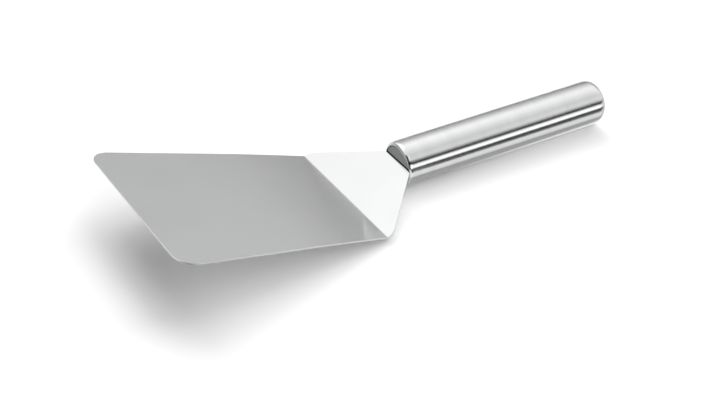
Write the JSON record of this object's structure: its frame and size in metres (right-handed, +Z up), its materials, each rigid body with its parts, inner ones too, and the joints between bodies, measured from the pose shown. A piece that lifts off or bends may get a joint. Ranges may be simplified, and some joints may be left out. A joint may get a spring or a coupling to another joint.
{
  "type": "spatula",
  "caption": "Flat griddle spatula: one bent steel sheet with a flared blade and a tapered neck, welded into a closed round tube handle, for turning and lifting food.",
  "frame": {"origin": "on the table, under the middle of the bounding box of the spatula as it lies along its handle", "axes": "+X from the blade's front edge towards the handle's rear end, +Y to the left of the handle, +Z up"},
  "size_m": [0.2846, 0.1094, 0.0381],
  "materials": {
    "brushed_sheet": "fine satin brush",
    "brushed_tube": "satin brush around the tube",
    "cap_steel": "plain ground steel",
    "weld_steel": "bare weld"
  },
  "bodies": {
    "root": {"blade": "brushed_sheet", "handle_tube": "brushed_tube", "rear_cap": "brushed_tube", "front_cap_upper": "cap_steel", "front_cap_lower": "cap_steel", "tang_weld_left": "weld_steel", "tang_weld_right": "weld_steel"}
  },
  "joints": []
}
